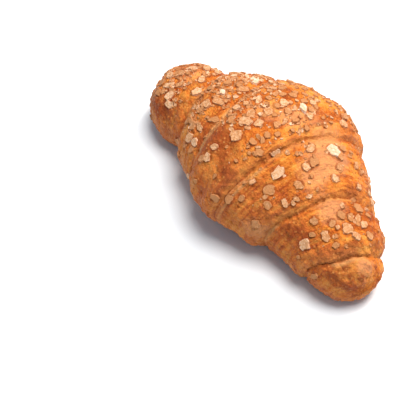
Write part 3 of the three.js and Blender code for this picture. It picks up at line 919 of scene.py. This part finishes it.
# %% The shapes of the flakes
RIM_UNEVEN, RIM_RAGGED, NOTCHES, NOTCH_REACH = 0.3, 0.18, 2, 0.76
CURLS, TOP_LEVELS = (-0.2, 0.9), (0.55, 0.95)
# The rings from the bottom up: share of the reach, level, roughness; and how far each counts as the side,
# which is tan and painted in shade, with the middle of the bottom and of the top
RINGS = ((0.95, 0.0, 0.0), (1.02, 0.75, 0.1), (0.92, 0.95, 0.2), (0.5, 0.8, 0.25))
TAN_AND_SHADED_SIDE = (1.0, 0.6, 0.1, 0.0, 1.0, 0.0)


def flake_shape(seed, rim, sunk):
    """A ragged plate one unit long, wide and thick with an uneven top; `sunk` of it lies below z = 0."""
    random = np.random.default_rng(seed)
    angles = (np.arange(rim) + random.uniform(-RIM_UNEVEN, RIM_UNEVEN, rim)) * 2 * np.pi / rim
    reach = 0.5 * (1 + RIM_RAGGED * random.uniform(-1, 1, rim))
    reach[random.integers(rim, size=NOTCHES)] *= NOTCH_REACH
    curl, way = random.uniform(*CURLS), random.uniform(0, np.pi)
    rings = []
    for share, level, rough in RINGS:
        x, y = reach * share * np.cos(angles), reach * share * np.sin(angles)
        lifted = curl * (x * np.cos(way) + y * np.sin(way)) ** 2
        rings.append(np.stack([x, y, level + lifted * (level > 0) + rough * random.uniform(-1, 1, rim)], -1))
    points = np.concatenate([*rings, [(0, 0, 0), (0, 0, random.uniform(*TOP_LEVELS))]]) - (0, 0, sunk)
    faces = []
    for ring in range(len(RINGS) - 1):
        for i in range(rim):
            a, b = ring * rim + i, ring * rim + (i + 1) % rim
            faces.append((a, b, b + rim, a + rim))
    last_ring, bottom = (len(RINGS) - 1) * rim, len(RINGS) * rim
    top = bottom + 1
    faces += [(bottom, (i + 1) % rim, i) for i in range(rim)]
    faces += [(top, last_ring + i, last_ring + (i + 1) % rim) for i in range(rim)]
    mesh = bpy.data.meshes.new(f"flake_shape_{seed}")
    mesh.from_pydata(points.tolist(), [], faces)
    keep_on(mesh, "side", np.repeat(TAN_AND_SHADED_SIDE, [rim, rim, rim, rim, 1, 1]))
    return mesh


def shapes_of(name, meshes):
    """A collection of shapes to pick from, in the scene only while the tree runs."""
    kinds = bpy.data.collections.new(name)
    bpy.context.scene.collection.children.link(kinds)
    for i, mesh in enumerate(meshes):
        kinds.objects.link(bpy.data.objects.new(f"{name}_{i:02d}", mesh))
    return kinds


def drop(kinds):
    """Takes a collection of shapes out of the scene."""
    for shape in list(kinds.objects):
        bpy.data.objects.remove(shape)
    bpy.data.collections.remove(kinds)


FLAKE_RIM, FLAKE_SEEDS = 12, range(1, 10)
flake_kinds = shapes_of("flake_kinds", [flake_shape(seed, FLAKE_RIM, 0) for seed in FLAKE_SEEDS])

# %% Points that carry the flakes
# The palest of the listed flakes, and the ranges of tone: the lower, the paler
WHITEST = {(25, 66), (-0.5, 68), (-33, 63), (-38, 95)}
WHITEST_TONE, CLEAR_TONES, SPREAD_TONES = -0.32, (-0.2, 0.15), (-0.1, 0.45)
THICKER_BY, TONE_SEED = (1.05, 1.65), 417
rng = np.random.default_rng(TONE_SEED)
centres, turns, scales, kinds_of, tones = [], [], [], [], []
for flake in flakes:
    up = Vector(surface_normal(flake["along"], flake["angle"]))
    first = Vector((1, 0, 0)).cross(up).normalized()
    first.rotate(Matrix.Rotation(math.radians(flake["turn"]), 3, up))
    lean = first.copy()
    lean.rotate(Matrix.Rotation(math.radians(flake["tilt_turn"]), 3, up))
    tilting = Matrix.Rotation(math.radians(flake["tilt"]), 3, lean)
    tilted, lengthways = tilting @ up, tilting @ first
    widthways = tilted.cross(lengthways)
    thickness = FLAKE_THICKNESS * rng.uniform(*THICKER_BY)
    centres.append((Vector(flake["centre"]) - tilted * FLAKE_SUNK) * MM)
    turns.append(Matrix((lengthways, widthways, tilted)).transposed().to_euler())
    scales.append(Vector((flake["length"], flake["width"], thickness)) * MM)
    kinds_of.append(flake["shape"] % len(flake_kinds.objects))
    if (flake["along"], flake["angle"]) in WHITEST:
        tones.append(WHITEST_TONE)
    else:
        tones.append(rng.uniform(*(SPREAD_TONES if flake["spread"] else CLEAR_TONES)))

oat_flakes = bpy.data.objects.new("oat_flakes", bpy.data.meshes.new("flake_places"))
bpy.context.scene.collection.objects.link(oat_flakes)
oat_flakes.data.from_pydata(centres, [], [])
keep_on(oat_flakes.data, "turn", np.array(turns))
keep_on(oat_flakes.data, "size", np.array(scales))
keep_on(oat_flakes.data, "kind", np.array(kinds_of, float))
keep_on(oat_flakes.data, "tone", np.array(tones))
print("flakes on points:", len(centres))

# %% Setting the flakes on their points
tree, sizes, end = start_tree("oat flakes", {})
kinds = add_node(tree, "GeometryNodeCollectionInfo", {"Collection": flake_kinds, "Separate Children": True})
rotation = add_node(tree, "FunctionNodeEulerToRotation", {0: kept(tree, "turn", "FLOAT_VECTOR")})
set_on = add_node(
    tree,
    "GeometryNodeInstanceOnPoints",
    {
        "Points": sizes.outputs["Geometry"],
        "Instance": kinds.outputs[0],
        "Pick Instance": True,
        "Instance Index": kept(tree, "kind"),
        "Rotation": rotation.outputs[0],
        "Scale": kept(tree, "size", "FLOAT_VECTOR"),
    },
)
finish_tree(tree, set_on.outputs[0], oat_material, end)
grow(oat_flakes, tree, {})
drop(flake_kinds)

# %% [markdown]
# ## Crumbs of oat
# Between the flakes lie broken bits, the smallest under a millimetre. Geometry Nodes scatter them over the
# crust, thickest where it is strewn most, and size each at random, so they need no list.

# %% Crumb shapes
CRUMB_RIM, CRUMB_SUNK, CRUMB_SEEDS = 7, 0.45, range(21, 27)
crumb_kinds = shapes_of("crumb_kinds", [flake_shape(seed, CRUMB_RIM, CRUMB_SUNK) for seed in CRUMB_SEEDS])

# %% Scattering the crumbs
CRUMBS = {"Smallest": 0.8 * MM, "Largest": 4.2 * MM, "Crumbs per m2": 300000.0}
RARELY_LARGE, WIDTH_SHARE, THICKNESS_SHARE, THINNEST = 2.2, 0.75, 0.15, 0.5 * MM
LEAN, FULL_TURN = 0.4, 6.3
CRUMB_TONES = (0.05, 0.6)

tree, sizes, end = start_tree("oat crumbs", CRUMBS)
thick = calculate(tree, "MULTIPLY", kept(tree, "crumbed"), sizes.outputs["Crumbs per m2"])
scatter = add_node(
    tree,
    "GeometryNodeDistributePointsOnFaces",
    {"Mesh": sizes.outputs["Geometry"], "Density": thick, "Seed": 11},
)
size = add_node(tree, "FunctionNodeRandomValue", {2: 0.0, 3: 1.0, "Seed": 3}, data_type="FLOAT")
rarely_large = calculate(tree, "POWER", size.outputs[1], RARELY_LARGE)
between_sizes = {"To Min": sizes.outputs["Smallest"], "To Max": sizes.outputs["Largest"]}
length = add_node(tree, "ShaderNodeMapRange", {"Value": rarely_large, **between_sizes}).outputs[0]
width = calculate(tree, "MULTIPLY", length, WIDTH_SHARE)
thickness = calculate(tree, "MULTIPLY_ADD", length, THICKNESS_SHARE, THINNEST)
size = add_node(tree, "ShaderNodeCombineXYZ", {"X": length, "Y": width, "Z": thickness})
spin = add_node(
    tree,
    "FunctionNodeRandomValue",
    {0: (-LEAN, -LEAN, 0.0), 1: (LEAN, LEAN, FULL_TURN), "Seed": 5},
    data_type="FLOAT_VECTOR",
)
spin = add_node(tree, "FunctionNodeEulerToRotation", {0: spin.outputs[0]})
turned = add_node(
    tree,
    "FunctionNodeRotateRotation",
    {"Rotation": scatter.outputs["Rotation"], "Rotate By": spin.outputs[0]},
    rotation_space="LOCAL",
)
kinds = add_node(tree, "GeometryNodeCollectionInfo", {"Collection": crumb_kinds, "Separate Children": True})
kind = add_node(tree, "FunctionNodeRandomValue", {4: 0, 5: len(CRUMB_SEEDS) - 1, "Seed": 7}, data_type="INT")
crumbs_on = add_node(
    tree,
    "GeometryNodeInstanceOnPoints",
    {
        "Points": scatter.outputs["Points"],
        "Instance": kinds.outputs[0],
        "Pick Instance": True,
        "Instance Index": kind.outputs[2],
        "Rotation": turned.outputs[0],
        "Scale": size.outputs[0],
    },
)
palest, darkest = CRUMB_TONES
tone = add_node(tree, "FunctionNodeRandomValue", {2: palest, 3: darkest, "Seed": 9}, data_type="FLOAT")
toned = add_node(
    tree,
    "GeometryNodeStoreNamedAttribute",
    {"Geometry": crumbs_on.outputs[0], "Name": "tone", "Value": tone.outputs[1]},
    data_type="FLOAT",
    domain="INSTANCE",
)
finish_tree(tree, toned.outputs[0], oat_material, end)

oat_crumbs = bpy.data.objects.new("oat_crumbs", crust.data.copy())
bpy.context.scene.collection.objects.link(oat_crumbs)
grow(oat_crumbs, tree, CRUMBS)
drop(crumb_kinds)

# %% [markdown]
# ## Floor and light
# The croissant lies on a plain white surface, lit as in a small studio: a large soft lamp overhead, a
# smaller one behind and to the right, whose shadow falls to the lower left, and dim surroundings that fill
# that shadow.

# %% Floor
FLOOR_SIZE, FLOOR_ROUGHNESS = 6.0, 0.9
floor_mesh = bpy.data.meshes.new("floor")
half = FLOOR_SIZE / 2
corners = [(x * half, y * half, 0) for x, y in ((-1, -1), (1, -1), (1, 1), (-1, 1))]
floor_mesh.from_pydata(corners, [], [(0, 1, 2, 3)])
floor = bpy.data.objects.new("floor", floor_mesh)
bpy.context.scene.collection.objects.link(floor)
floor_material, tree, shader = start_material("matt white board")
shader.inputs["Base Color"].default_value = linear("#eff3f8")
shader.inputs["Roughness"].default_value = FLOOR_ROUGHNESS
floor_mesh.materials.append(floor_material)
print("floor, m:", FLOOR_SIZE)

# %% Light
SURROUNDINGS, SURROUNDING_LIGHT = "#d4eeff", 0.36
world = bpy.data.worlds.new("studio")
bpy.context.scene.world = world
world.use_nodes = True
world.node_tree.nodes["Background"].inputs["Color"].default_value = linear(SURROUNDINGS)
world.node_tree.nodes["Background"].inputs["Strength"].default_value = SURROUNDING_LIGHT


def soft_lamp(name, place, size, watts, colour):
    """A round lamp, its place and size in metres, that faces the middle of the frame."""
    light = bpy.data.lights.new(name, "AREA")
    light.shape = "DISK"
    light.size = size
    light.energy = watts
    light.color = linear(colour)[:3]
    lamp = bpy.data.objects.new(name, light)
    bpy.context.scene.collection.objects.link(lamp)
    lamp.location = place
    lamp.rotation_mode = "QUATERNION"
    lamp.rotation_quaternion = (-Vector(place)).to_track_quat("-Z", "Y")


soft_lamp("overhead", place=(0.08, 0.19, 1.18), size=0.75, watts=17.2, colour="#fffaf4")
soft_lamp("key", place=(-0.02, 0.66, 1.0), size=0.35, watts=6.8, colour="#fff2e2")
bpy.context.scene.view_settings.view_transform = "Standard"
print("lamps:", len(bpy.data.lights))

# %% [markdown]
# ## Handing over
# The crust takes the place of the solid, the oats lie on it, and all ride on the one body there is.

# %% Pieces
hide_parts("croissant")
for piece in (crust, oat_flakes, oat_crumbs):
    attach(piece, "root")
